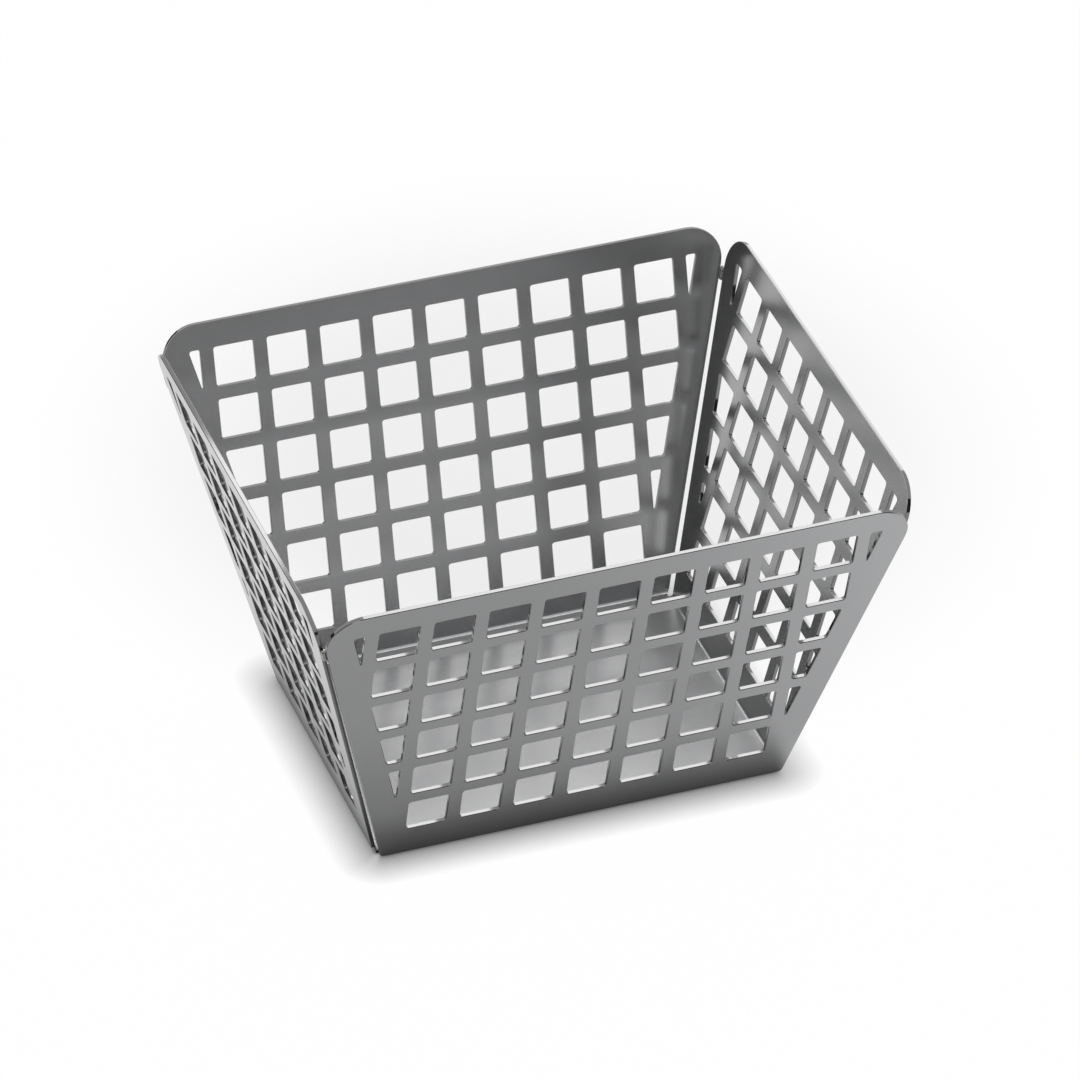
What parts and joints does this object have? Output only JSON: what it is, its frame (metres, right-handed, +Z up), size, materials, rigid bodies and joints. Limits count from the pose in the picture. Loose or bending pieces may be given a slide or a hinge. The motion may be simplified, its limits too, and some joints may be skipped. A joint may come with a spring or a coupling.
{
  "type": "fry serving basket",
  "caption": "Open table basket of folded sheet steel: a plain rectangular floor and leaning walls with square perforations, rounded rim corners and tack-welded corner slots.",
  "frame": {"origin": "middle of the floor's underside, the face that stands on the table", "axes": "+X along the long walls towards the right wall, +Y towards the back wall, +Z up out of the open top"},
  "size_m": [0.1414, 0.1196, 0.0861],
  "materials": {
    "sheet_steel": "satin stainless sheet with softly blurred reflections and bright cut edges",
    "weld_steel": "dressed weld bead, slightly duller than the sheet"
  },
  "bodies": {
    "root": {"floor_panel": "sheet_steel", "front_wall": "sheet_steel", "back_wall": "sheet_steel", "left_wall": "sheet_steel", "right_wall": "sheet_steel", "tack_weld_front_left": "weld_steel", "tack_weld_front_right": "weld_steel", "tack_weld_back_left": "weld_steel", "tack_weld_back_right": "weld_steel"}
  },
  "joints": []
}
